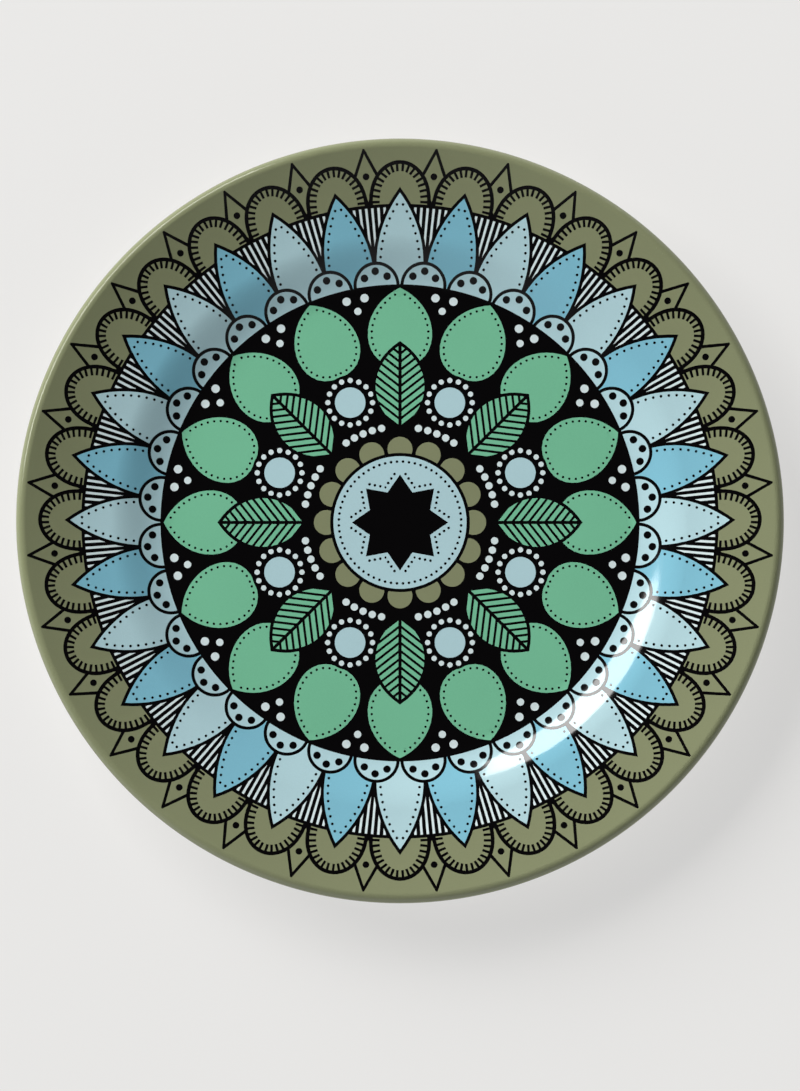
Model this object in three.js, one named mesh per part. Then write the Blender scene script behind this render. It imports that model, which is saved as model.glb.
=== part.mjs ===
// A round porcelain dinner plate standing on its foot ring: a fired clay body, the glaze that
// covers it, and the printed transfers fired on to the glaze of its face.
// Millimetres, +Z up. The origin is the centre of the circle that the foot ring stands on.
import * as THREE from 'three';

// Overall size
const PLATE_RADIUS = 135; // axis to the outermost point of the lip
const PLATE_HEIGHT = 22; // table to the top of the lip

// Clay body
const BODY_THICKNESS = 4.4; // measured straight down, and the same out to the rounded lip
const FLOOR_HEIGHT = 7.4; // table to the clay of the well's flat floor
const FLOOR_RADIUS = 80; // axis to where the well's wall starts to climb
const WALL_RUN = 22; // how far outward the wall goes while it climbs
const WALL_RISE = 0.48; // share of the climb from the floor to the lip that the wall makes
const WALL_EASE = 0.36; // share of the wall's run that each end takes to ease in
const RIM_START = 0.73; // slope where the rim leaves the wall, as a share of its mean slope

// Foot ring
const FOOT_RADIUS = 74; // axis to the middle of the ring's flat sole
const SOLE_WIDTH = 3.2; // width of the flat sole
const FOOT_FLARE = 1.3; // how much wider the ring is at its root, on each side
const GLAZE_LINE = 0.9; // height above the table where the glaze stops on the ring

// Coats
const GLAZE = 0.3;
const PRINT = 0.12;
const CENTRE_PRINT_RADIUS = 90; // where the centre transfer meets the border transfer
const BAND_LAP = 60; // degrees that the hand-painted band runs under the lip

// Fineness
const TURN_STEPS = 48;
const WALL_STEPS = 6;
const RIM_STEPS = 4;
const BAND_STEPS = 5;
const UNDER_LIP_STEPS = 2;

const LIP_RADIUS = BODY_THICKNESS / 2;
const LIP_TOP = PLATE_HEIGHT - GLAZE - PRINT; // the coats bring it up to the plate's height
const LIP_CENTRE = new THREE.Vector2(
  PLATE_RADIUS - GLAZE - PRINT - LIP_RADIUS,
  LIP_TOP - LIP_RADIUS,
);

function point(radius, height) {
  return new THREE.Vector2(radius, height);
}

function raised(points, by) {
  return points.map((p) => point(p.x, p.y + by));
}

// The clay's face from the edge of the floor to the top of the lip, axis outward: an S-shaped
// wall, then a rim that steepens on its way to the lip.
function faceOutside() {
  const wallTop = point(
    FLOOR_RADIUS + WALL_RUN,
    FLOOR_HEIGHT + (LIP_TOP - FLOOR_HEIGHT) * WALL_RISE,
  );
  const halfRun = (LIP_CENTRE.x - wallTop.x) / 2;
  const slope = (RIM_START * (LIP_TOP - wallTop.y)) / (2 * halfRun);
  const ease = WALL_RUN * WALL_EASE;
  const wall = new THREE.CubicBezierCurve(
    point(FLOOR_RADIUS, FLOOR_HEIGHT),
    point(FLOOR_RADIUS + ease, FLOOR_HEIGHT),
    point(wallTop.x - ease, wallTop.y - ease * slope),
    wallTop,
  );
  const rim = new THREE.QuadraticBezierCurve(
    wallTop,
    point(wallTop.x + halfRun, wallTop.y + halfRun * slope),
    point(LIP_CENTRE.x, LIP_TOP),
  );
  return [...wall.getPoints(WALL_STEPS), ...rim.getPoints(RIM_STEPS).slice(1)];
}

// An arc round the lip's centre between two angles above level, in degrees.
function lipArc(radius, fromAngle, toAngle, steps) {
  const points = [];
  for (let step = 0; step <= steps; step += 1) {
    const angle = THREE.MathUtils.degToRad(fromAngle + ((toAngle - fromAngle) * step) / steps);
    points.push(point(
      LIP_CENTRE.x + radius * Math.cos(angle),
      LIP_CENTRE.y + radius * Math.sin(angle),
    ));
  }
  return points;
}

// The part of the lip's round that the painted band covers, from its top to under its edge.
function bandArc(radius) {
  return lipArc(radius, 90, -BAND_LAP, BAND_STEPS);
}

// The lip's whole round, from its top to its underside, with a point where the band ends.
function lipRound(radius) {
  return [...bandArc(radius), ...lipArc(radius, -BAND_LAP, -90, UNDER_LIP_STEPS).slice(1)];
}

// The point of a face or back profile at a radius, between two of its points.
function pointAt(profile, radius) {
  const outer = profile.findIndex((p) => p.x >= radius);
  const [a, b] = [profile[outer - 1], profile[outer]];
  return point(radius, a.y + ((b.y - a.y) * (radius - a.x)) / (b.x - a.x));
}

function inward(profile, from) {
  return [...profile.filter((p) => p.x < from.x), from];
}

function outward(profile, from) {
  return [from, ...profile.filter((p) => p.x > from.x)];
}

// The clay's back, axis outward, up to where the lip's round begins.
function clayBack() {
  return raised([point(0, FLOOR_HEIGHT), ...faceOutside().slice(0, -1)], -BODY_THICKNESS);
}

// One side of the foot ring, from the clay's back down to the sole, with the end of the glaze
// between them. The direction is 1 for the ring's outside and -1 for its inside.
function footSide(direction) {
  const soleEdge = point(FOOT_RADIUS + (direction * SOLE_WIDTH) / 2, 0);
  const root = pointAt(clayBack(), soleEdge.x + direction * FOOT_FLARE);
  const glazeEnd = soleEdge.clone().lerp(root, GLAZE_LINE / root.y);
  return { root, glazeEnd, soleEdge };
}

// A solid of revolution about +Z. The profile starts and ends on the axis, or closes on itself.
function turned(name, profile, material) {
  const geometry = new THREE.LatheGeometry(profile, TURN_STEPS);
  geometry.rotateX(Math.PI / 2);
  const mesh = new THREE.Mesh(geometry, material);
  mesh.name = name;
  return mesh;
}

function coat(color, roughness) {
  return new THREE.MeshStandardMaterial({ color, roughness, metalness: 0 });
}

// The section of a printed film lying on a run of face points, from its underside to its top.
function film(underneath) {
  return [...underneath, ...raised(underneath, PRINT).reverse()];
}

function porcelainBody() {
  const [inside, outside] = [footSide(-1), footSide(1)];
  const profile = [
    ...inward(clayBack(), inside.root),
    inside.glazeEnd,
    inside.soleEdge,
    outside.soleEdge,
    outside.glazeEnd,
    ...outward(clayBack(), outside.root),
    ...lipRound(LIP_RADIUS).reverse(),
    ...faceOutside().slice(0, -1).reverse(),
    point(0, FLOOR_HEIGHT),
  ];
  return turned('porcelain_body', profile, coat('#e9e4da', 0.75));
}

// One unbroken coat: over the face, round the lip and down the back to the glaze line.
function outerGlaze() {
  const face = [point(0, FLOOR_HEIGHT), ...faceOutside().slice(0, -1)];
  const { root, glazeEnd } = footSide(1);
  const glazedBack = raised(clayBack(), -GLAZE);
  const profile = [
    ...face,
    ...lipRound(LIP_RADIUS),
    ...outward(clayBack(), root).reverse(),
    glazeEnd,
    point(glazeEnd.x + GLAZE, glazeEnd.y),
    ...outward(glazedBack, pointAt(glazedBack, root.x + GLAZE)),
    ...lipRound(LIP_RADIUS + GLAZE).reverse(),
    ...raised(face, GLAZE).reverse(),
  ];
  return turned('outer_glaze', profile, coat('#f4f2ec', 0.12));
}

// The separate pool of glaze inside the foot ring, cut off from the rest by the bare sole.
function recessGlaze() {
  const { root, glazeEnd } = footSide(-1);
  const glazedBack = raised(clayBack(), -GLAZE);
  const profile = [
    ...inward(glazedBack, pointAt(glazedBack, root.x - GLAZE)),
    point(glazeEnd.x - GLAZE, glazeEnd.y),
    glazeEnd,
    ...inward(clayBack(), root).reverse(),
  ];
  return turned('recess_glaze', profile, coat('#f4f2ec', 0.12));
}

// The glazed face, axis outward, to the top of the lip.
function glazedFace() {
  return raised([point(0, FLOOR_HEIGHT), ...faceOutside()], GLAZE);
}

// Where the two transfers meet.
function seam() {
  return pointAt(glazedFace(), CENTRE_PRINT_RADIUS);
}

function centreTransfer() {
  return turned('centre_transfer', film(inward(glazedFace(), seam())), coat('#7fbf9b', 0.15));
}

function borderTransfer() {
  const ring = film(outward(glazedFace(), seam()));
  return turned('border_transfer', [...ring, ring[0].clone()], coat('#8fb9c4', 0.15));
}

// The olive line round the lip, lapping under it where a flat transfer can't reach.
function edgeBand() {
  const inner = bandArc(LIP_RADIUS + GLAZE);
  const outer = bandArc(LIP_RADIUS + GLAZE + PRINT);
  const profile = [...inner, ...outer.reverse(), inner[0].clone()];
  return turned('edge_band', profile, coat('#8c8a68', 0.15));
}

const plate = new THREE.Group();
plate.add(
  porcelainBody(),
  outerGlaze(),
  recessGlaze(),
  centreTransfer(),
  borderTransfer(),
  edgeBand(),
);

export default plate;
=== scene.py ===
"""A porcelain dinner plate lying on its foot ring: printed ornament, glaze and bare sole.

The ornament is a regular rosette with eight arms. It is drawn in millimetres over one sixteenth of
the plate, from an arm to the line half way to the next, as flat shapes laid one over another. The
wedge is cut into triangles, each triangle goes to the ink on top of it, and sixteen mirrored copies
make the whole print, raised on to the face.
"""

import math

import bpy
import numpy as np
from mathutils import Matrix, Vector
from mathutils.geometry import delaunay_2d_cdt


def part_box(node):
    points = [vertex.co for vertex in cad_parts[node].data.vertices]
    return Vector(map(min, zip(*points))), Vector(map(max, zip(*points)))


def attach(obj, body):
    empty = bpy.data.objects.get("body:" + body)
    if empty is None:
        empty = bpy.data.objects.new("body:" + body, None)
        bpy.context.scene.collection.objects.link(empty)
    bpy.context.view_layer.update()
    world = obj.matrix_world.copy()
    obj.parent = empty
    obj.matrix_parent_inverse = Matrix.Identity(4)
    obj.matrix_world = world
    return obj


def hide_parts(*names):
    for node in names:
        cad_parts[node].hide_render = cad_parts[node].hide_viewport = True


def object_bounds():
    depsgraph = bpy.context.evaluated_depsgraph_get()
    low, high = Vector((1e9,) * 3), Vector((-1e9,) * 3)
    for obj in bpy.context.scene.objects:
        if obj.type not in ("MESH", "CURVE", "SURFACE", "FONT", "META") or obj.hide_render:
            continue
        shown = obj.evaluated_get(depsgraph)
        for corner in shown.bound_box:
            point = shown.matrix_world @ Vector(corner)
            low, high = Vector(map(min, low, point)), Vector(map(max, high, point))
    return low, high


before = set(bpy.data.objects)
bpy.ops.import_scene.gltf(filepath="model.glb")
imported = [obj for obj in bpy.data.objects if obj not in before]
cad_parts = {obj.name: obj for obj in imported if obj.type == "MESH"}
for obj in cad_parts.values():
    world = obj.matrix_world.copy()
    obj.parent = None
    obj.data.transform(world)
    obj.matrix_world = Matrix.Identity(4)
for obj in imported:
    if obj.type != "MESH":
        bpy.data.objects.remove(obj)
cad_low, cad_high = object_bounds()

MM = 0.001
ON_AXIS = 1e-6

# Sizes in millimetres. The overall ones come from the CAD frame.
PLATE_RADIUS = (cad_high.x - cad_low.x) / 2 / MM
PLATE_HEIGHT = cad_high.z / MM
PRINT = 0.12
GLAZE = 0.3
BODY_THICKNESS = 4.4
GLAZED_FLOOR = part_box("centre_transfer")[0].z / MM
PRINTED_FLOOR = GLAZED_FLOOR + PRINT
FLOOR_RADIUS = 80.0
WALL_RUN = 22.0
WALL_RISE = 0.48
WALL_EASE = 0.36
RIM_START = 0.73
LIP_RADIUS = BODY_THICKNESS / 2 + GLAZE + PRINT
LIP_CENTRE = (PLATE_RADIUS - LIP_RADIUS, PLATE_HEIGHT - LIP_RADIUS)
LIP_START = 107  # degrees round the lip's centre where the face runs smoothly into it
BAND_END = -60
BACK_START = -73
BACK_END = 128.0  # where the back runs into the lip
FOOT_INSIDE, FOOT_OUTSIDE = 72.4, 75.6
FOOT_FLARE = 1.3
GLAZE_LINE = 0.9
FOOT_FILLET = 1.6
SOLE_BEVEL = 0.35
FILLET_END = GLAZE_LINE + 0.6  # height on the foot ring's side where the fillet ends
TURN_STEPS = 240
WALL_STEPS, RIM_STEPS = 200, 100  # along the profile that heights are read from
RIM_SPOTS = [112, 122]  # radii of the face's points on the rim
BACK_SPOTS = [107, 112, 117, 122, BACK_END]
WALL_RING_GAP, RIM_RING_GAP = 1.1, 5  # between the print's rings of extra corners on the slope
CREASE = 35  # degrees between faces that stay a sharp edge
PRINT_RADIUS = LIP_CENTRE[0] + LIP_RADIUS * math.cos(math.radians(LIP_START))

# Ornament, in millimetres and in degrees from an arm
ARMS = 8
WEDGE = 180 / ARMS
WEDGE_STEPS = TURN_STEPS // (2 * ARMS)
PETALS = 4 * ARMS
PITCH = 360 / PETALS
LINE = 1.15
MITRE_LIMIT = 0.45  # least cosine of half a corner's turn, so that sharp corners don't spike
BEAD = 1.3
STAR_TIP, STAR_WAIST = 17.0, 11.5
BAND_EDGE = 23.5
BAND_DOT, BAND_DOT_GAP = 0.5, 2.0
EDGE_INSET, STAR_INSET = 1.9, 1.7
SCALE_RING, SCALE_RADIUS = 26.0, 4.4
BEAD_RING, BEAD_STEP = 34.0, 5.75
LEAF_START, LEAF_END, LEAF_BULGE, LEAF_EASE = 33.5, 63.0, 11.5, 8.0
VEIN_GAP, VEIN_WIDTH, VEIN_LEAN = 2.9, 1.1, 9.0
MEDALLION_RING, MEDALLION_RADIUS = 46.0, 9.8
MEDALLION_BEADS, MEDALLION_BEAD, MEDALLION_BEAD_RING = 16, 0.95, 7.9
MEDALLION_MIDDLE = 5.4
GREEN_EDGE = [(55, 0), (54, 13), (70, 17), (80, 9), (84, 0)]
GREEN_DOT, GREEN_DOT_GAP, GREEN_DOT_CLEAR = 0.45, 2.3, 0.75
CENTRE_EDGE = 84.5
TRIO_OUTER, TRIO_INNER, TRIO_SPREAD, TRIO_BEAD = 80.6, 76.4, 2.3, 1.5
SCALLOP_RADIUS = 7.6
SCALLOP_DOT, SCALLOP_DOT_RING, SCALLOP_DOT_TURN = 1.35, 4.9, 55
BLUE_FOOT, BLUE_SHOULDER, BLUE_WAIST, BLUE_TIP = 84.0, 90.0, 103.0, 117.0
BLUE_DOT, BLUE_DOT_GAP, BLUE_DOT_FIRST, BLUE_DOT_CLEAR = 0.5, 2.75, 10.0, 0.8
BLUE_INSET = 1.95
BLUE_FULLNESS = 0.46  # half a blue petal's width at its waist's control, as a share of the pitch
REED_START, REED_END, REEDS = 96.0, 111.0, 10  # reeds between one petal's axis and the next
REED_HALF = 0.2  # half a pale reed's width, as a share of the spacing
ARCH_LINE = 1.35
ARCH_SPRING, ARCH_CROWN, ARCH_HALF = 112.0, 126.5, 5.2
ARCH_STEPS = 28
TICK_WIDTH, TICK_LENGTH, TICK_GAP = 0.9, 2.4, 2.15
LOZENGE_TIP, LOZENGE_WAIST, LOZENGE_HALF, LOZENGE_DOT = 131.0, 122.0, 1.9, 1.2

# Colours, 0 to 255
INKS = {
    "black": (5, 4, 5),
    "olive": (124, 129, 99),
    "green": (112, 180, 146),
    "pale_blue": (168, 199, 206),
    "mid_blue": (121, 178, 197),
    "white": (203, 217, 219),
}
BISQUE_COLOUR = (222, 214, 200)
GLAZE_COLOUR = (238, 236, 229)


# ---------------------------------------------------------------- plane geometry


def at(radius, degrees):
    """The point at a radius and an angle."""
    turn = math.radians(degrees)
    return (radius * math.cos(turn), radius * math.sin(turn))


def on_circle(centre, radius, degrees):
    x, y = at(radius, degrees)
    return (centre[0] + x, centre[1] + y)


def arc(centre, radius, start, end, steps):
    """Points round a centre, from one angle to another."""
    turns = [start + (end - start) * step / steps for step in range(steps + 1)]
    return [on_circle(centre, radius, turn) for turn in turns]


def sector(radius, steps):
    """The wedge out to a radius."""
    return [(0, 0)] + arc((0, 0), radius, 0, WEDGE, steps)


def disc(centre, radius):
    """A round with more sides the bigger it is."""
    sides = 9 if radius < 0.8 else 16 if radius < 3 else 44
    return arc(centre, radius, 0, 360, sides)[:-1]


def curve(controls, steps):
    """A Bezier curve with any number of control points."""
    points = []
    for step in range(steps + 1):
        share = step / steps
        row = list(controls)
        while len(row) > 1:
            legs = zip(row, row[1:])
            row = [tuple(p + (q - p) * share for p, q in zip(a, b)) for a, b in legs]
        points.append(row[0])
    return points


def polar_curve(controls, steps):
    """A Bezier curve whose controls are angle and radius."""
    return [at(radius, degrees) for degrees, radius in curve(controls, steps)]


def rotated(path, degrees):
    cos, sin = at(1, degrees)
    return [(cos * x - sin * y, sin * x + cos * y) for x, y in path]


def length_of(path):
    return sum(math.dist(a, b) for a, b in zip(path, path[1:]))


def heading(a, b):
    length = math.dist(a, b)
    return ((b[0] - a[0]) / length, (b[1] - a[1]) / length)


def side_step(path, by, closed=False):
    """The path moved to its left, or to its right where by is negative."""
    moved = []
    count = len(path)
    for i, here in enumerate(path):
        legs = []
        if closed or i > 0:
            legs.append(heading(path[i - 1], here))
        if closed or i < count - 1:
            legs.append(heading(here, path[(i + 1) % count]))
        nx = -sum(leg[1] for leg in legs)
        ny = sum(leg[0] for leg in legs)
        size = math.hypot(nx, ny) or 1
        reach = by / max(size / len(legs), MITRE_LIMIT)
        moved.append((here[0] + nx / size * reach, here[1] + ny / size * reach))
    return moved


def spaced(path, gap, first=0.0):
    """(point, heading) at equal distances along a path."""
    found = []
    due = first
    for a, b in zip(path, path[1:]):
        length = math.dist(a, b)
        while length and due <= length:
            share = due / length
            spot = (a[0] + (b[0] - a[0]) * share, a[1] + (b[1] - a[1]) * share)
            found.append((spot, heading(a, b)))
            due += gap
        due -= length
    return found


def evenly(path, gap):
    """(point, heading) along a path at about the gap, with half a gap at each end."""
    length = length_of(path)
    exact = length / round(length / gap)
    return spaced(path, exact, exact / 2)


def clipped(shape, window):
    """The part of a shape inside a convex window that runs counter-clockwise."""
    for a, b in zip(window, window[1:] + window[:1]):
        kept = []
        for p, q in zip(shape, shape[1:] + shape[:1]):
            p_side = (b[0] - a[0]) * (p[1] - a[1]) - (b[1] - a[1]) * (p[0] - a[0])
            q_side = (b[0] - a[0]) * (q[1] - a[1]) - (b[1] - a[1]) * (q[0] - a[0])
            if p_side >= 0:
                kept.append(p)
            if p_side * q_side < 0:
                share = p_side / (p_side - q_side)
                kept.append((p[0] + (q[0] - p[0]) * share, p[1] + (q[1] - p[1]) * share))
        shape = kept
    return shape


def area_of(outline):
    return sum(a[0] * b[1] - b[0] * a[1] for a, b in zip(outline, outline[1:] + outline[:1])) / 2


# ---------------------------------------------------------------- ornament


class Drawing:
    """Flat shapes laid one over another, each with its ink and the transfer that it is part of."""

    def __init__(self):
        self.shapes = []
        self.transfer = ""

    def fill(self, ink, outline):
        size = area_of(outline) if len(outline) > 2 else 0
        if abs(size) > 1e-6:
            self.shapes.append(((self.transfer, ink), outline if size > 0 else outline[::-1]))

    def line(self, path, width=LINE, closed=False):
        left = side_step(path, width / 2, closed)
        right = side_step(path, -width / 2, closed)
        for i in range(len(path) if closed else len(path) - 1):
            j = (i + 1) % len(path)
            self.fill("black", [left[i], right[i], right[j], left[j]])

    def outlined(self, ink, outline):
        self.fill(ink, outline)
        self.line(outline, closed=True)

    def dots(self, centres, radius, ink="black"):
        for centre in centres:
            self.fill(ink, disc(centre, radius))

    def dotted(self, path, gap, radius):
        self.dots([spot for spot, _ in evenly(path, gap)], radius)


def draw_lozenge(drawing, degrees):
    """A straight-sided lozenge that stands behind two arches, with a spot in it."""
    outline = [
        at(ARCH_SPRING, degrees),
        at(LOZENGE_WAIST, degrees - LOZENGE_HALF),
        at(LOZENGE_TIP, degrees),
        at(LOZENGE_WAIST, degrees + LOZENGE_HALF),
    ]
    drawing.outlined("olive", outline)
    drawing.dots([at(LOZENGE_WAIST, degrees)], LOZENGE_DOT)


def draw_arch(drawing, degrees):
    """A half-ellipse over a petal's tip, with short ticks all round its inside."""
    path = []
    for step in range(ARCH_STEPS + 1):
        reach, lift = at(1, 180 - 180 * step / ARCH_STEPS)
        radius = ARCH_SPRING + (ARCH_CROWN - ARCH_SPRING) * lift
        path.append(at(radius, degrees + ARCH_HALF * reach))
    drawing.fill("olive", path)
    inner = side_step(path, ARCH_LINE / 2)
    for (x, y), (along_x, along_y) in evenly(inner, TICK_GAP):
        drawing.line([(x, y), (x - along_y * TICK_LENGTH, y + along_x * TICK_LENGTH)], TICK_WIDTH)
    drawing.line(path, ARCH_LINE)


def draw_reeds(drawing):
    """A dark ring with evenly spaced pale lines across it, which shows between the petals."""
    drawing.fill("black", sector(REED_END + LINE, 12))
    step = PITCH / REEDS
    for index in range(round(WEDGE / step)):
        middle = (index + 0.5) * step
        low, high = middle - REED_HALF * step, middle + REED_HALF * step
        corners = [(REED_START, low), (REED_END, low), (REED_END, high), (REED_START, high)]
        drawing.fill("white", [at(*corner) for corner in corners])


def draw_blue_petal(drawing, ink, tip):
    """A pointed petal with a row of dots inside each edge."""
    sides = []
    for way in (-1, 1):
        seam = tip + way * PITCH / 2
        control = (tip + way * BLUE_FULLNESS * PITCH, BLUE_WAIST)
        side = polar_curve([(seam, BLUE_SHOULDER), control, (tip, BLUE_TIP)], 12)
        sides.append([at(BLUE_FOOT, seam)] + side)
    drawing.outlined(ink, sides[0] + sides[1][::-1][1:])
    axis_x, axis_y = at(1, tip)
    for side, way in zip(sides, (1, -1)):
        for spot, _ in spaced(side_step(side, BLUE_INSET * way), BLUE_DOT_GAP, BLUE_DOT_FIRST):
            from_axis = way * (axis_y * spot[0] - axis_x * spot[1])
            if from_axis > BLUE_DOT_CLEAR:
                drawing.dots([spot], BLUE_DOT)


def draw_border(drawing):
    drawing.transfer = "border"
    drawing.fill("olive", sector(PRINT_RADIUS, WEDGE_STEPS))
    for index in range(2):
        draw_lozenge(drawing, (index + 0.5) * PITCH)
    for index in range(3):
        draw_arch(drawing, index * PITCH)
    draw_reeds(drawing)
    for index in range(3):
        draw_blue_petal(drawing, "mid_blue" if index % 2 else "pale_blue", index * PITCH)


def draw_scallop(drawing, degrees):
    """A pale round with three dots, of which the outer half shows."""
    centre = at(CENTRE_EDGE, degrees)
    drawing.outlined("pale_blue", disc(centre, SCALLOP_RADIUS))
    turns = (-SCALLOP_DOT_TURN, 0, SCALLOP_DOT_TURN)
    drawing.dots([on_circle(centre, SCALLOP_DOT_RING, degrees + turn) for turn in turns], SCALLOP_DOT)


def draw_green_petal(drawing, degrees):
    """A pointed petal with a row of dots inside each edge."""
    upper = curve(GREEN_EDGE, 16)
    lower = [(x, -y) for x, y in upper]
    drawing.outlined("green", rotated(lower + upper[::-1][1:-1], degrees))
    for side, way in ((upper, 1), (lower, -1)):
        row = [spot for spot, _ in spaced(side_step(side, -EDGE_INSET * way), GREEN_DOT_GAP, 1.0)]
        kept = [spot for spot in row if spot[1] * way > GREEN_DOT_CLEAR]
        drawing.dots(rotated(kept, degrees), GREEN_DOT)


def draw_leaf(drawing):
    """A green leaf on the arm, with a dark midrib and slanting veins."""
    controls = [
        (LEAF_START, 0),
        (LEAF_START + LEAF_EASE, LEAF_BULGE),
        (LEAF_END - LEAF_EASE, LEAF_BULGE),
        (LEAF_END, 0),
    ]
    upper = curve(controls, 20)
    leaf = [(x, -y) for x, y in upper] + upper[::-1][1:-1]
    drawing.line(leaf, 2 * LINE, closed=True)
    drawing.fill("green", leaf)
    for foot in np.arange(LEAF_START - VEIN_LEAN, LEAF_END, VEIN_GAP):
        for way in (-1, 1):
            vein = [
                (foot, 0),
                (foot + VEIN_WIDTH, 0),
                (foot + VEIN_WIDTH + VEIN_LEAN, way * LEAF_BULGE),
                (foot + VEIN_LEAN, way * LEAF_BULGE),
            ]
            drawing.fill("black", clipped(vein, leaf))
    drawing.line([(LEAF_START, 0), (LEAF_END, 0)], LINE)


def draw_medallion(drawing):
    """A pale round in a dark ring of beads, between two arms."""
    centre = at(MEDALLION_RING, WEDGE)
    drawing.fill("black", disc(centre, MEDALLION_RADIUS))
    turns = [WEDGE + 360 * bead / MEDALLION_BEADS for bead in range(MEDALLION_BEADS)]
    beads = [on_circle(centre, MEDALLION_BEAD_RING, turn) for turn in turns]
    drawing.dots(beads, MEDALLION_BEAD, "white")
    drawing.fill("pale_blue", disc(centre, MEDALLION_MIDDLE))


def draw_middle(drawing):
    """A plain star in a pale band, with a ring of scales behind the band."""
    for index in range(2):
        drawing.fill("olive", disc(at(SCALE_RING, index * WEDGE), SCALE_RADIUS))
    drawing.fill("black", sector(BAND_EDGE + LINE, 6))
    drawing.fill("pale_blue", sector(BAND_EDGE, 6))
    star = [at(STAR_TIP, 0), at(STAR_WAIST, WEDGE)]
    ring = arc((0, 0), BAND_EDGE - EDGE_INSET, 0, WEDGE, 6)
    drawing.dotted(ring, BAND_DOT_GAP, BAND_DOT)
    drawing.dotted(side_step(star, -STAR_INSET), BAND_DOT_GAP, BAND_DOT)
    drawing.fill("black", [(0, 0)] + star)


def draw_centre(drawing):
    drawing.transfer = "centre"
    for index in range(2):
        draw_scallop(drawing, (index + 0.5) * PITCH)
    drawing.fill("black", sector(CENTRE_EDGE, WEDGE_STEPS))
    pair = [at(TRIO_OUTER, PITCH + way * TRIO_SPREAD) for way in (-1, 1)]
    drawing.dots(pair, TRIO_BEAD, "white")
    drawing.dots([at(TRIO_INNER, PITCH)], BEAD, "white")
    for index in range(2):
        draw_green_petal(drawing, index * WEDGE)
    draw_medallion(drawing)
    draw_leaf(drawing)
    beads = [at(BEAD_RING, WEDGE - step * BEAD_STEP) for step in range(3)]
    drawing.dots(beads, BEAD, "white")
    draw_middle(drawing)


# ---------------------------------------------------------------- the plate's profile


def face_profile():
    """Radius, height and slope along the printed face, axis outward."""
    lip_z = LIP_CENTRE[1] + LIP_RADIUS * math.sin(math.radians(LIP_START))
    top = (FLOOR_RADIUS + WALL_RUN, PRINTED_FLOOR + (PLATE_HEIGHT - PRINTED_FLOOR) * WALL_RISE)
    half_run = (PRINT_RADIUS - top[0]) / 2
    slope = RIM_START * (lip_z - top[1]) / (2 * half_run)
    ease = WALL_RUN * WALL_EASE
    wall = curve(
        [
            (FLOOR_RADIUS, PRINTED_FLOOR),
            (FLOOR_RADIUS + ease, PRINTED_FLOOR),
            (top[0] - ease, top[1] - ease * slope),
            top,
        ],
        WALL_STEPS,
    )
    middle = (top[0] + half_run, top[1] + half_run * slope)
    rim = curve([top, middle, (PRINT_RADIUS, lip_z)], RIM_STEPS)
    points = np.array([(0, PRINTED_FLOOR)] + wall + rim[1:])
    slopes = np.gradient(points[:, 1], points[:, 0])
    slopes[:2] = 0
    return points[:, 0], points[:, 1], slopes


FACE_RADII, FACE_HEIGHTS, FACE_SLOPES = face_profile()


def face_height(radius):
    return np.interp(radius, FACE_RADII, FACE_HEIGHTS)


def face_slope(radius):
    return np.interp(radius, FACE_RADII, FACE_SLOPES)


# ---------------------------------------------------------------- meshes


def new_piece(name, mesh, material, node):
    piece = bpy.data.objects.new(name, mesh)
    bpy.context.collection.objects.link(piece)
    mesh.materials.append(material)
    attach(piece, "root")
    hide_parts(node)


def covered(outline, spots):
    """Which of the spots lie inside an outline."""
    inside = np.zeros(len(spots), bool)
    for (x0, y0), (x1, y1) in zip(outline, outline[1:] + outline[:1]):
        if y0 == y1:
            continue
        crossing = (y0 > spots[:, 1]) != (y1 > spots[:, 1])
        inside ^= crossing & (spots[:, 0] < x0 + (x1 - x0) * (spots[:, 1] - y0) / (y1 - y0))
    return inside


def cut_wedge(shapes):
    """The wedge as (points, {owner: triangles}), each triangle owned by the shape on top of it."""
    points, edges = [], []
    for _, outline in shapes:
        start, count = len(points), len(outline)
        points += outline
        edges += [(start + i, start + (i + 1) % count) for i in range(count)]
    wall_top = FLOOR_RADIUS + WALL_RUN
    wall_rings = np.arange(FLOOR_RADIUS, wall_top + 0.1, WALL_RING_GAP)
    rim_rings = np.arange(wall_top + RIM_RING_GAP, PRINT_RADIUS - 2, RIM_RING_GAP)
    for radius in [*wall_rings, *rim_rings]:
        start = len(points)
        points += arc((0, 0), radius, 0, WEDGE, WEDGE_STEPS)
        edges += [(i, i + 1) for i in range(start, len(points) - 1)]
    cut = delaunay_2d_cdt([Vector(p) for p in points], edges, [], 0, 1e-5, False)
    corners = np.array([tuple(p) for p in cut[0]])
    triangles = np.array(cut[2])
    middles = corners[triangles].mean(axis=1)
    top = np.full(len(triangles), -1)
    for index, (_, outline) in enumerate(shapes):
        low, high = np.min(outline, axis=0), np.max(outline, axis=0)
        near = np.flatnonzero(((middles >= low) & (middles <= high)).all(axis=1))
        top[near[covered(outline, middles[near])]] = index
    in_wedge = covered(shapes[0][1], middles)
    owners = {}
    for index, (owner, _) in enumerate(shapes):
        owners.setdefault(owner, []).append(index)
    return corners, {
        owner: triangles[in_wedge & np.isin(top, indices)] for owner, indices in owners.items()
    }


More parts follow.
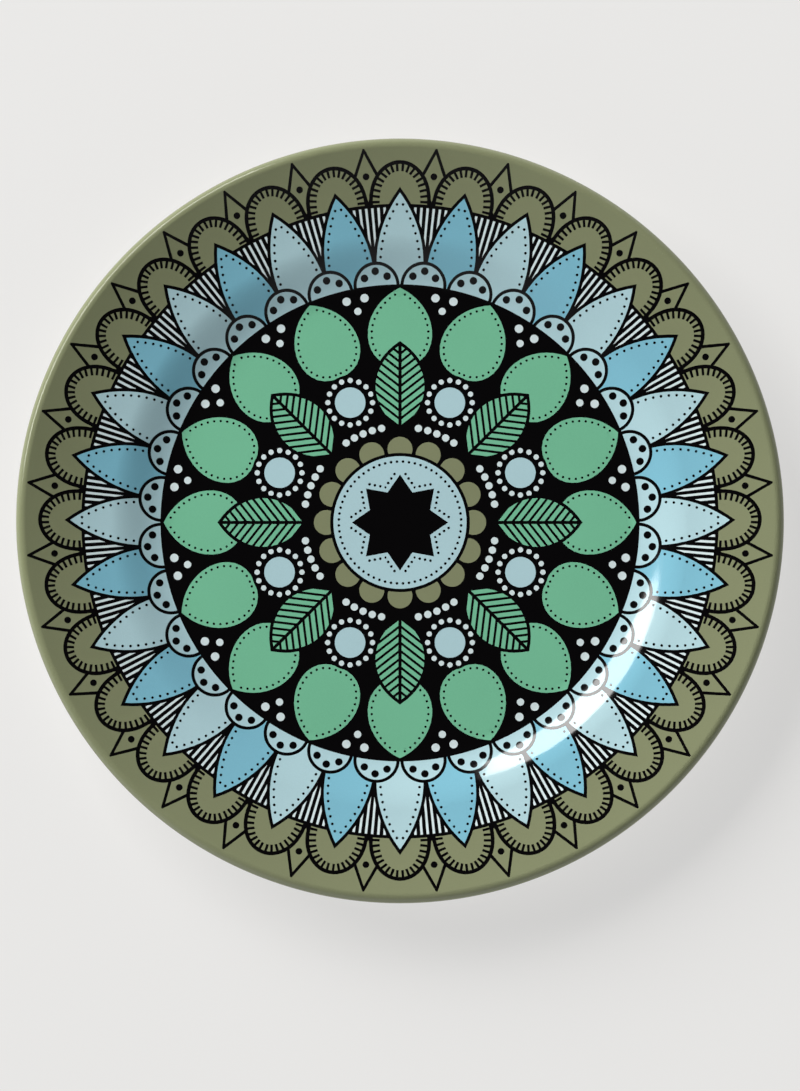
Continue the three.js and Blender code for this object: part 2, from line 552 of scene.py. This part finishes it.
def whole_ring(points, triangles):
    """The wedge's triangles repeated in mirrored copies, with shared corners joined."""
    all_points, all_triangles = [], []
    for arm in range(ARMS):
        cos, sin = at(1, 2 * WEDGE * arm)
        for flip in (1, -1):
            x, y = points[:, 0], points[:, 1] * flip
            all_triangles.append(triangles[:, ::flip] + len(points) * len(all_points))
            all_points.append(np.column_stack([cos * x - sin * y, sin * x + cos * y]))
    flat = np.round(np.vstack(all_points), 3) + 0.0  # adding 0.0 clears any -0.0
    tri = np.vstack(all_triangles)
    used, tri = np.unique(tri, return_inverse=True)
    tri = tri.reshape(-1, 3)
    flat, joined = np.unique(flat[used], axis=0, return_inverse=True)
    tri = joined.reshape(-1)[tri]
    real = (tri[:, 0] != tri[:, 1]) & (tri[:, 1] != tri[:, 2]) & (tri[:, 2] != tri[:, 0])
    return flat, tri[real]


def rim_edges(triangles):
    """The directed edges that only one triangle uses."""
    edges = np.vstack([triangles[:, [0, 1]], triangles[:, [1, 2]], triangles[:, [2, 0]]])
    key = np.sort(edges, axis=1)
    _, index, counts = np.unique(key, axis=0, return_index=True, return_counts=True)
    return edges[index[counts == 1]]


def film_mesh(name, flat, triangles):
    """A closed film of ink that follows the face, with the face's own exact normals."""
    count = len(flat)
    radius = np.hypot(flat[:, 0], flat[:, 1])
    top = np.column_stack([flat, face_height(radius)])
    slope = face_slope(radius)
    outward = flat / np.maximum(radius, ON_AXIS)[:, None]
    normals = np.column_stack([-outward * slope[:, None], np.ones(count)])
    normals /= np.linalg.norm(normals, axis=1)[:, None]
    bottom = top - (0, 0, PRINT)
    rim = rim_edges(triangles)
    sides = np.column_stack([rim[:, 1], rim[:, 0], rim[:, 0] + count, rim[:, 1] + count])
    faces = triangles.tolist() + (triangles[:, ::-1] + count).tolist() + sides.tolist()
    mesh = bpy.data.meshes.new(name)
    mesh.from_pydata((np.vstack([top, bottom]) * MM).tolist(), [], faces)
    along = top[rim[:, 1]] - top[rim[:, 0]]
    side_normals = np.column_stack([along[:, 1], -along[:, 0], np.zeros(len(rim))])
    side_normals /= np.maximum(np.linalg.norm(side_normals, axis=1), 1e-9)[:, None]
    loops = np.vstack(
        [
            normals[triangles.reshape(-1)],
            -normals[triangles[:, ::-1].reshape(-1)],
            np.repeat(side_normals, 4, 0),
        ]
    )
    mesh.shade_smooth()
    mesh.normals_split_custom_set(loops.tolist())
    return mesh


def lathe_mesh(name, section):
    """A ring turned about +Z from a closed section of (radius, height)."""
    vertices, faces, rows = [], [], []
    for radius, height in section:
        rows.append(len(vertices))
        if radius < ON_AXIS:
            vertices.append((0, 0, height * MM))
            continue
        for step in range(TURN_STEPS):
            x, y = at(radius * MM, 360 * step / TURN_STEPS)
            vertices.append((x, y, height * MM))
    for i, (radius, _) in enumerate(section):
        j = (i + 1) % len(section)
        a, b = rows[i], rows[j]
        starts_on_axis, ends_on_axis = radius < ON_AXIS, section[j][0] < ON_AXIS
        if starts_on_axis and ends_on_axis:
            continue
        for step in range(TURN_STEPS):
            other = (step + 1) % TURN_STEPS
            if starts_on_axis:
                faces.append((a, b + other, b + step))
            elif ends_on_axis:
                faces.append((a + step, a + other, b))
            else:
                faces.append((a + step, a + other, b + other, b + step))
    mesh = bpy.data.meshes.new(name)
    mesh.from_pydata(vertices, [], faces)
    mesh.shade_smooth()
    mesh.set_sharp_from_angle(angle=math.radians(CREASE))
    return mesh


# ---------------------------------------------------------------- materials


DRIFT_SCALE = 28
GLOSS_SCALE = 55


def linear(colour, gain=1.0):
    """A 0 to 255 colour as linear light, with a gain."""
    channels = []
    for value in colour:
        share = value / 255
        light = share / 12.92 if share <= 0.04045 else ((share + 0.055) / 1.055) ** 2.4
        channels.append(min(light * gain, 1.0))
    return (*channels, 1.0)


def noise(nodes, links, coords, scale, detail=2.0):
    texture = nodes.new("ShaderNodeTexNoise")
    texture.inputs["Scale"].default_value = scale
    texture.inputs["Detail"].default_value = detail
    links.new(coords.outputs["Object"], texture.inputs["Vector"])
    return texture.outputs["Fac"]


def remap(nodes, links, source, low, high):
    """A noise value's usual range, 0.3 to 0.7, stretched over low to high."""
    node = nodes.new("ShaderNodeMapRange")
    node.inputs["From Min"].default_value = 0.3
    node.inputs["From Max"].default_value = 0.7
    node.inputs["To Min"].default_value = low
    node.inputs["To Max"].default_value = high
    links.new(source, node.inputs["Value"])
    return node.outputs["Result"]


def blended(nodes, links, factor, first, second):
    node = nodes.new("ShaderNodeMix")
    node.data_type = "RGBA"
    links.new(factor, node.inputs["Factor"])
    for socket, value in ((node.inputs[6], first), (node.inputs[7], second)):
        if isinstance(value, tuple):
            socket.default_value = value
        else:
            links.new(value, socket)
    return node.outputs[2]


def ceramic(name, colour, roughness, mottle, ripple, ripple_scale, grain_scale):
    """A fired surface: broad drifts and fine grain in its colour, uneven gloss and faint ripples.

    The mottle is a share of the colour, the ripple is a height in millimetres, and the two scales
    are those of the ripples and of the grain.
    """
    material = bpy.data.materials.new(name)
    material.use_nodes = True
    nodes, links = material.node_tree.nodes, material.node_tree.links
    shader = nodes["Principled BSDF"]
    shader.inputs["IOR"].default_value = 1.5
    coords = nodes.new("ShaderNodeTexCoord")
    drift = remap(nodes, links, noise(nodes, links, coords, DRIFT_SCALE, 3), 0, 1)
    grain = remap(nodes, links, noise(nodes, links, coords, grain_scale, 2), 0, 1)
    broad = blended(nodes, links, drift, linear(colour, 1 - mottle), linear(colour, 1 + mottle))
    light = blended(nodes, links, drift, linear(colour, 1 + mottle), linear(colour, 1 + 2 * mottle))
    links.new(blended(nodes, links, grain, broad, light), shader.inputs["Base Color"])
    unevenness = noise(nodes, links, coords, GLOSS_SCALE, 2)
    gloss = remap(nodes, links, unevenness, roughness * 0.8, roughness * 1.25)
    links.new(gloss, shader.inputs["Roughness"])
    bump = nodes.new("ShaderNodeBump")
    bump.inputs["Strength"].default_value = 1.0
    bump.inputs["Distance"].default_value = ripple * MM
    links.new(noise(nodes, links, coords, ripple_scale, 1), bump.inputs["Height"])
    links.new(bump.outputs["Normal"], shader.inputs["Normal"])
    return material


def bisque_material():
    return ceramic(
        "bisque",
        BISQUE_COLOUR,
        roughness=0.8,
        mottle=0.05,
        ripple=0.05,
        ripple_scale=1500,
        grain_scale=4000,
    )


def glaze_material():
    return ceramic(
        "white_glaze",
        GLAZE_COLOUR,
        roughness=0.08,
        mottle=0.015,
        ripple=0.03,
        ripple_scale=120,
        grain_scale=900,
    )


def paint_material():
    return ceramic(
        "olive_paint",
        INKS["olive"],
        roughness=0.08,
        mottle=0.04,
        ripple=0.02,
        ripple_scale=160,
        grain_scale=1500,
    )


def ink_material(ink):
    return ceramic(
        f"ink_{ink}",
        INKS[ink],
        roughness=0.075,
        mottle=0.03,
        ripple=0.02,
        ripple_scale=160,
        grain_scale=2600,
    )


# ---------------------------------------------------------------- the plate


def lip(radius, start, end, step=6):
    """Points of an arc round the lip's centre, inclusive of both ends."""
    steps = max(1, round(abs(end - start) / step))
    return arc(LIP_CENTRE, radius, start, end, steps)


def face_line(drop):
    """Points along the face at a depth under the printed surface, from the axis to the lip."""
    wall = np.arange(FLOOR_RADIUS + 1, FLOOR_RADIUS + WALL_RUN + 0.5, 1.0)
    radii = [0, FLOOR_RADIUS, *wall, *RIM_SPOTS]
    return [(radius, float(face_height(radius)) - drop) for radius in radii]


def back_height(radius, drop):
    return float(face_height(radius)) - GLAZE - PRINT - BODY_THICKNESS - drop


def back_line(start, drop):
    """Points along the back from a radius to near the lip, at a depth under the clay."""
    steps = np.arange(FLOOR_RADIUS, FLOOR_RADIUS + WALL_RUN + 0.5, 1.0)
    radii = [radius for radius in [*steps, *BACK_SPOTS] if radius > start]
    return [(radius, back_height(radius, drop)) for radius in radii]


def foot_side(sole_edge, way, grow):
    """One side of the foot ring from its filleted root down to the glaze line."""
    root_height = back_height(sole_edge, 0)
    root = sole_edge + way * FOOT_FLARE

    def on_side(height):
        return (sole_edge + way * (FOOT_FLARE * height / root_height + grow), height)

    drop = GLAZE if grow else 0
    fillet_start = (root + way * (grow + FOOT_FILLET), back_height(root, drop))
    corner = (root + way * grow, back_height(root, drop))
    return curve([fillet_start, corner, on_side(FILLET_END)], 6) + [on_side(GLAZE_LINE)]


def clay_section():
    """The fired clay: its back with the foot ring, the lip and the face under the glaze."""
    inside = foot_side(FOOT_INSIDE, -1, 0)
    outside = foot_side(FOOT_OUTSIDE, 1, 0)
    bow = SOLE_BEVEL * 0.3  # bows the bevel outward, as a worn edge
    sole = [
        (FOOT_INSIDE, SOLE_BEVEL),
        (FOOT_INSIDE + bow, bow),
        (FOOT_INSIDE + SOLE_BEVEL, 0),
        (FOOT_OUTSIDE - SOLE_BEVEL, 0),
        (FOOT_OUTSIDE - bow, bow),
        (FOOT_OUTSIDE, SOLE_BEVEL),
    ]
    radius = BODY_THICKNESS / 2
    underside = [(0, back_height(0, 0))] + inside + sole + outside[::-1]
    back = back_line(outside[0][0], 0)
    face = face_line(GLAZE + PRINT)[::-1]
    return underside + back + lip(radius, BACK_START, LIP_START) + face


def outer_glaze_section():
    """The glaze over the face, round the lip and down to the foot ring."""
    clay_side = foot_side(FOOT_OUTSIDE, 1, 0)
    glaze_side = foot_side(FOOT_OUTSIDE, 1, GLAZE)
    radius = BODY_THICKNESS / 2
    surface = glaze_side[::-1] + back_line(glaze_side[0][0], GLAZE)
    surface += lip(radius + GLAZE, BACK_START, LIP_START) + face_line(PRINT)[::-1]
    underneath = face_line(PRINT + GLAZE) + lip(radius, LIP_START, BACK_START)
    underneath += back_line(clay_side[0][0], 0)[::-1] + clay_side
    return surface + underneath


def recess_glaze_section():
    """The pool of glaze inside the foot ring."""
    clay_side = foot_side(FOOT_INSIDE, -1, 0)
    glaze_side = foot_side(FOOT_INSIDE, -1, GLAZE)
    return [(0, back_height(0, GLAZE))] + glaze_side + clay_side[::-1] + [(0, back_height(0, 0))]


def edge_band_section():
    """The painted line round the lip."""
    return lip(LIP_RADIUS, BAND_END, LIP_START, 4) + lip(LIP_RADIUS - PRINT, LIP_START, BAND_END, 4)


def build_print():
    drawing = Drawing()
    draw_border(drawing)
    draw_centre(drawing)
    points, owned = cut_wedge(drawing.shapes)
    materials = {ink: ink_material(ink) for ink in INKS}
    for (transfer, ink), triangles in sorted(owned.items()):
        name = f"{transfer}_{ink}"
        flat, whole = whole_ring(points, triangles)
        mesh = film_mesh(name, flat, whole)
        new_piece(name, mesh, materials[ink], f"{transfer}_transfer")


def build_plate():
    bisque = bisque_material()
    glaze = glaze_material()
    olive = paint_material()
    turned = [
        ("fired_clay", clay_section(), bisque, "porcelain_body", "bisque"),
        ("glaze_coat", outer_glaze_section(), glaze, "outer_glaze", "white_glaze"),
        ("glaze_pool", recess_glaze_section(), glaze, "recess_glaze", "white_glaze"),
        ("lip_line", edge_band_section(), olive, "edge_band", "olive_paint"),
    ]
    for name, section, material, node, slot in turned:
        new_piece(name, lathe_mesh(name, section), material, node)
    build_print()


# ---------------------------------------------------------------- studio

# Metres, radians and watts, with the lens and the sensor in millimetres
PLATE_SHARE = 0.961  # of the view's width
FRAME_WIDTH = 2 * PLATE_RADIUS * MM / PLATE_SHARE
LENS = 270.0
SENSOR_WIDTH = 24.0
CAMERA_TILT = math.radians(5.0)
BELOW_CENTRE = 0.0094  # how far the camera aims below the plate's middle
KEY_DISTANCE = 6.0
KEY_POLAR = math.radians(60)
KEY_AZIMUTH = math.radians(137)
KEY_WIDTH, KEY_HEIGHT = 5.0, 3.4
KEY_POWER = 640.0
GLINT_POLAR = math.radians(49)
GLINT_HEIGHT = 1.1
PANEL_COLOUR = (1.0, 0.99, 0.97)
FLOOR_REACH = 4.0
FLOOR_COLOUR = (0.24, 0.238, 0.234, 1)
FLOOR_GLOW_COLOUR = (1.0, 0.995, 0.985, 1)
FLOOR_GLOW = 0.57
FLOOR_ROUGHNESS = 0.9
WORLD_COLOUR = (0.98, 0.99, 1.0, 1)
# Each ramp of the world's brightness: axis, where it starts and ends, and its value at each
WORLD_RAMPS = [("Z", 0.15, 0.6, 0.75, 0.03), ("Y", -0.95, -0.25, 0.5, 0.0)]


def toward(polar, azimuth):
    """The direction at an angle from +Z and an angle round it from +X."""
    x, y = math.cos(azimuth), math.sin(azimuth)
    return Vector((math.sin(polar) * x, math.sin(polar) * y, math.cos(polar)))


def build_camera():
    data = bpy.data.cameras.new("camera")
    data.sensor_fit = "HORIZONTAL"
    data.sensor_width = SENSOR_WIDTH
    data.lens = LENS
    camera = bpy.data.objects.new("camera", data)
    bpy.context.collection.objects.link(camera)
    direction = Vector((0, -math.sin(CAMERA_TILT), math.cos(CAMERA_TILT)))
    target = Vector((0, -BELOW_CENTRE, PLATE_HEIGHT * MM))
    camera.location = target + direction * (FRAME_WIDTH * LENS / SENSOR_WIDTH)
    camera.rotation_euler = direction.to_track_quat("Z", "Y").to_euler()
    bpy.context.scene.camera = camera


def build_panel(name, polar, height, power):
    """A rectangular light on the key's side, aimed at the plate and not seen itself."""
    data = bpy.data.lights.new(name, "AREA")
    data.shape = "RECTANGLE"
    data.size = KEY_WIDTH
    data.size_y = height
    data.energy = power
    data.color = PANEL_COLOUR
    light = bpy.data.objects.new(name, data)
    bpy.context.collection.objects.link(light)
    direction = toward(polar, KEY_AZIMUTH)
    light.location = direction * KEY_DISTANCE
    light.rotation_euler = direction.to_track_quat("Z", "Y").to_euler()
    light.visible_camera = False
    return light


def build_lights():
    """The key lights the plate, and a narrow panel of its brightness gives the glaze its glint."""
    key = build_panel("key", KEY_POLAR, KEY_HEIGHT, KEY_POWER)
    key.visible_glossy = False
    glint = build_panel("glint", GLINT_POLAR, GLINT_HEIGHT, KEY_POWER * GLINT_HEIGHT / KEY_HEIGHT)
    glint.visible_diffuse = False


def build_world():
    """Dark overhead, pale near the horizon, and paler towards -Y, as beside a lit table top."""
    world = bpy.data.worlds.new("studio")
    bpy.context.scene.world = world
    world.use_nodes = True
    nodes, links = world.node_tree.nodes, world.node_tree.links
    coords = nodes.new("ShaderNodeTexCoord")
    split = nodes.new("ShaderNodeSeparateXYZ")
    links.new(coords.outputs["Generated"], split.inputs["Vector"])
    total = nodes.new("ShaderNodeMath")
    total.operation = "ADD"
    for slot, (axis, start, end, low, high) in enumerate(WORLD_RAMPS):
        ramp = nodes.new("ShaderNodeMapRange")
        ramp.inputs["From Min"].default_value = start
        ramp.inputs["From Max"].default_value = end
        ramp.inputs["To Min"].default_value = low
        ramp.inputs["To Max"].default_value = high
        links.new(split.outputs[axis], ramp.inputs["Value"])
        links.new(ramp.outputs["Result"], total.inputs[slot])
    links.new(total.outputs["Value"], nodes["Background"].inputs["Strength"])
    nodes["Background"].inputs["Color"].default_value = WORLD_COLOUR


def build_floor():
    mesh = bpy.data.meshes.new("floor")
    rim = [(x, y, 0) for x, y in arc((0, 0), FLOOR_REACH, 0, 360, 64)[:-1]]
    mesh.from_pydata(rim, [], [list(range(len(rim)))])
    floor = bpy.data.objects.new("floor", mesh)
    bpy.context.collection.objects.link(floor)
    material = bpy.data.materials.new("floor")
    material.use_nodes = True
    shader = material.node_tree.nodes["Principled BSDF"]
    shader.inputs["Base Color"].default_value = FLOOR_COLOUR
    shader.inputs["Roughness"].default_value = FLOOR_ROUGHNESS
    shader.inputs["Specular IOR Level"].default_value = 0.0
    shader.inputs["Emission Color"].default_value = FLOOR_GLOW_COLOUR
    shader.inputs["Emission Strength"].default_value = FLOOR_GLOW
    mesh.materials.append(material)


build_camera()
build_plate()
build_lights()
build_world()
build_floor()
bpy.context.scene.view_settings.view_transform = "Standard"
